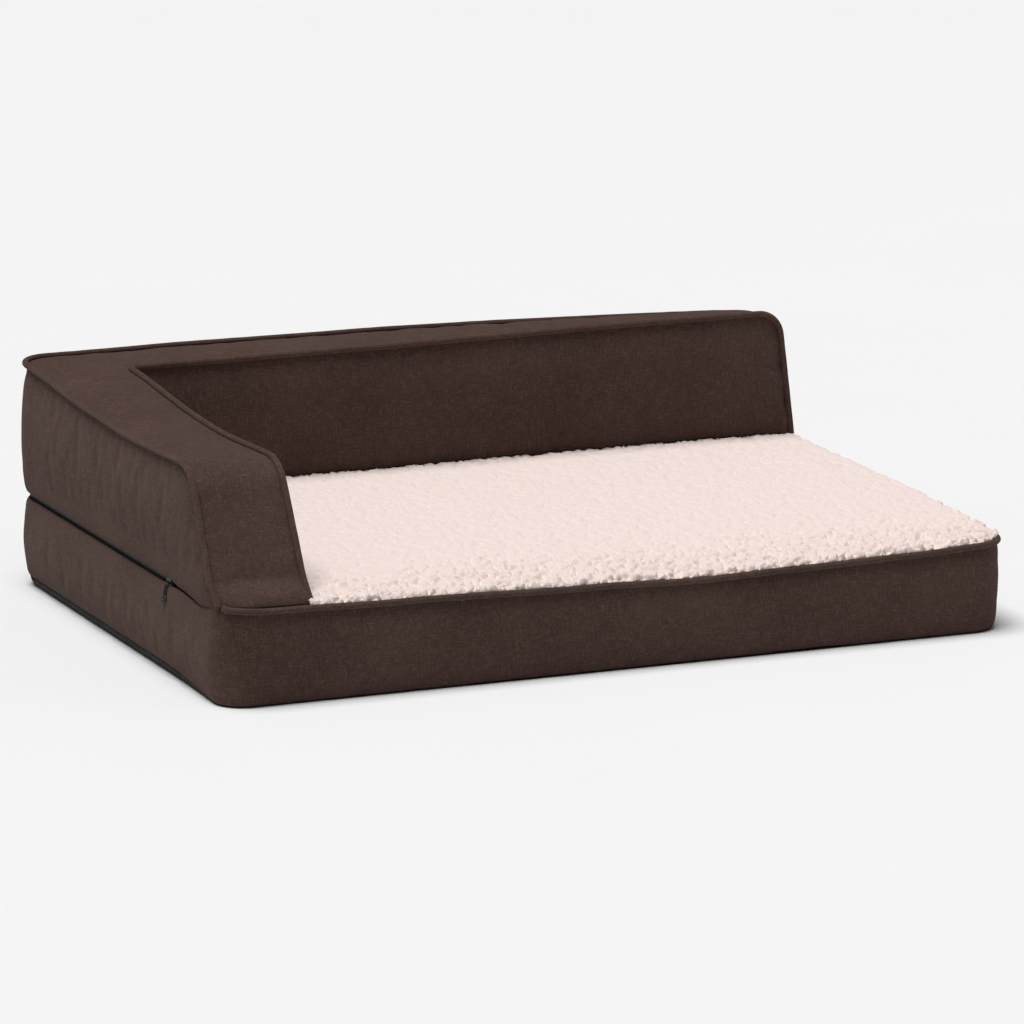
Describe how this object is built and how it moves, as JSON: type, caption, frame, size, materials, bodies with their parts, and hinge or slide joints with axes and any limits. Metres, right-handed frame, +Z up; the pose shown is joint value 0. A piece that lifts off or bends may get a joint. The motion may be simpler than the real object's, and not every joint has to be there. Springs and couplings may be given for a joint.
{
  "type": "pet cushion bed",
  "caption": "Rectangular foam pet bed with an L-shaped bolster on its left and rear sides, a curly fleece top and a zipped fabric cover.",
  "frame": {"origin": "centre of the base on the floor", "axes": "+X right along the long front side, +Y to the rear, +Z up; the bolster is along the left (-X) and rear (+Y) sides"},
  "size_m": [0.9009, 0.638, 0.25],
  "materials": {
    "cover_fabric": "matte linen-look weave, dark brown",
    "fleece": "curly pile, pale pinkish cream",
    "bottom_fabric": "matte, with small grip dots",
    "lining": "plain nonwoven",
    "foam": "open-cell foam",
    "cord": "twisted cotton filler cord",
    "zip_tape": "woven tape, black",
    "zip_coil": "nylon coil, black",
    "zip_metal": "black painted die-cast metal"
  },
  "bodies": {
    "cushion": {"bottom_panel": "bottom_fabric", "side_band": "cover_fabric", "base_foam": "foam", "sleeping_panel": "fleece", "base_piping_cover": "cover_fabric", "base_piping_cord": "cord", "bolster_lining": "lining", "arm_foam": "foam", "back_foam": "foam", "top_strip": "cover_fabric", "outer_panel": "cover_fabric", "inner_panel": "cover_fabric", "outer_piping_cover": "cover_fabric", "outer_piping_cord": "cord", "inner_piping_cover": "cover_fabric", "inner_piping_cord": "cord", "zip_tape_lower": "zip_tape", "zip_tape_upper": "zip_tape", "zip_coil_lower": "zip_coil", "zip_coil_upper": "zip_coil", "zip_stop_front": "zip_metal", "zip_stop_rear": "zip_metal"},
    "zip_slider": {"slider_body": "zip_metal", "slider_bridge": "zip_metal"},
    "zip_pull": {"pull": "zip_metal"}
  },
  "joints": [
    {"name": "zip_slide", "type": "slide", "parent": "cushion", "child": "zip_slider", "axis": [0, 1, 0], "range_m": [0, 0.42]},
    {"name": "pull_swing", "type": "hinge", "parent": "zip_slider", "child": "zip_pull", "pos_m": [-0.4462, -0.1552, 0.1], "axis": [0, 1, 0], "range_deg": [0, 150]}
  ]
}
